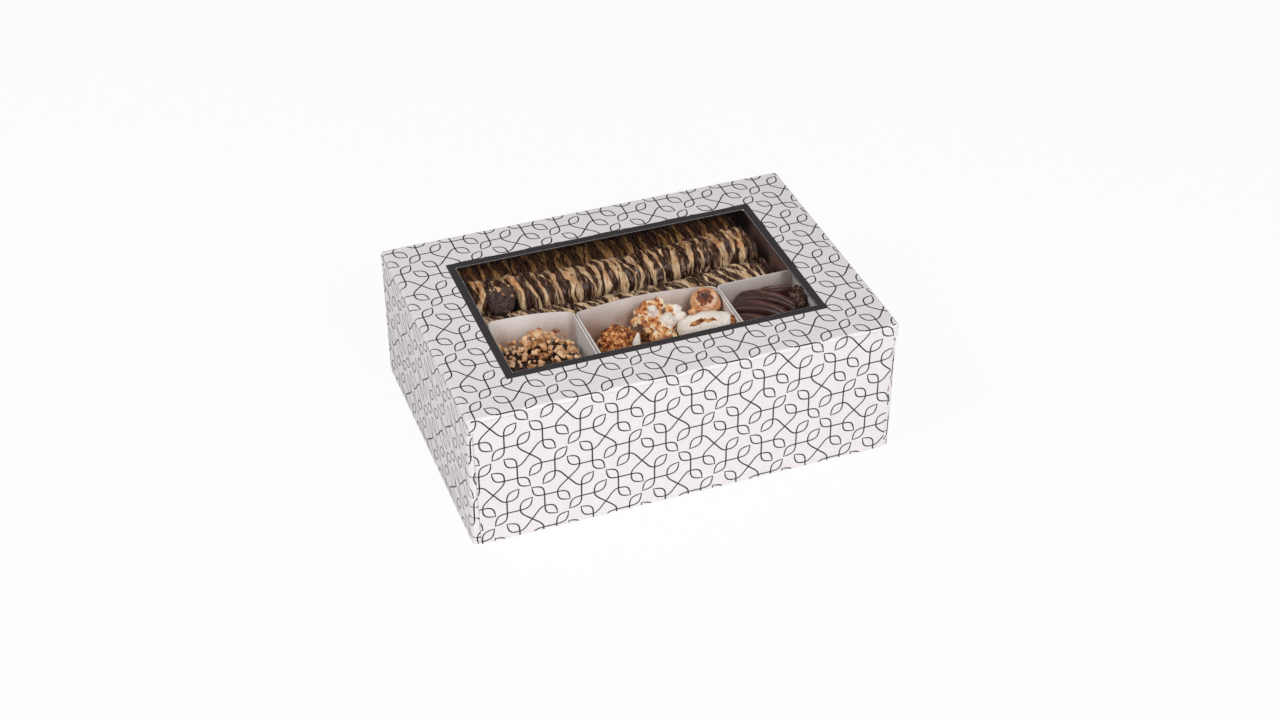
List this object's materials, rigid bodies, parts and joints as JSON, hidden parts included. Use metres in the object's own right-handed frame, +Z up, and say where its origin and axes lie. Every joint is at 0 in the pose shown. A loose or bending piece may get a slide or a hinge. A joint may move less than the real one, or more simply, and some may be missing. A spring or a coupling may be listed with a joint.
{
  "type": "sweet box",
  "caption": "Printed folding carton with a hinged window lid, full-depth side and front flaps, card trays inside and assorted sweets.",
  "frame": {"origin": "centre of the bottom face, where the box rests on the table", "axes": "+X to the right along the long side, +Y to the back where the lid is hinged, +Z up; the front faces -Y"},
  "size_m": [0.305, 0.21, 0.105],
  "materials": {
    "printed_board": "white board printed with fine black line ornament, satin",
    "clear_film": "thin clear film, glossy",
    "white_card": "plain white card, matte",
    "dark_chocolate": "dark chocolate, satin",
    "milk_chocolate": "reddish brown chocolate, satin",
    "chopped_nut": "roasted chopped nuts, matte",
    "nut_slice": "nut biscuit slices, cream and dark brown, matte",
    "caramel_crumb": "caramel and biscuit crumb, rough",
    "white_chocolate": "white chocolate, satin"
  },
  "bodies": {
    "base": {"base_tray": "printed_board", "raised_floor": "white_card", "left_spacer": "white_card", "right_spacer": "white_card", "back_tray": "white_card", "left_tray": "white_card", "middle_tray": "white_card", "right_tray": "white_card", "front_slices": "nut_slice", "middle_slices": "nut_slice", "rear_slices": "nut_slice", "nut_chocolates": "dark_chocolate", "chopped_nuts": "chopped_nut", "lower_clusters": "caramel_crumb", "crumb_cluster": "caramel_crumb", "white_chunk": "white_chocolate", "caramel_cluster": "caramel_crumb", "round_praline": "caramel_crumb", "white_roll": "white_chocolate", "lower_sticks": "milk_chocolate", "chocolate_sticks": "milk_chocolate", "crumb_nugget": "caramel_crumb"},
    "lid": {"lid_panel": "printed_board", "window_film": "clear_film"},
    "front_flap": {"front_flap": "printed_board"},
    "left_flap": {"left_flap": "printed_board"},
    "right_flap": {"right_flap": "printed_board"}
  },
  "joints": [
    {"name": "lid_hinge", "type": "hinge", "parent": "base", "child": "lid", "pos_m": [0, 0.1051, 0.10215], "axis": [-1, 0, 0], "range_deg": [0, 110]},
    {"name": "front_flap_hinge", "type": "hinge", "parent": "lid", "child": "front_flap", "pos_m": [0, -0.1051, 0.1023], "axis": [-1, 0, 0], "range_deg": [0, 90]},
    {"name": "left_flap_hinge", "type": "hinge", "parent": "lid", "child": "left_flap", "pos_m": [-0.1526, 0, 0.1023], "axis": [0, 1, 0], "range_deg": [0, 90]},
    {"name": "right_flap_hinge", "type": "hinge", "parent": "lid", "child": "right_flap", "pos_m": [0.1526, 0, 0.1023], "axis": [0, -1, 0], "range_deg": [0, 90]}
  ]
}
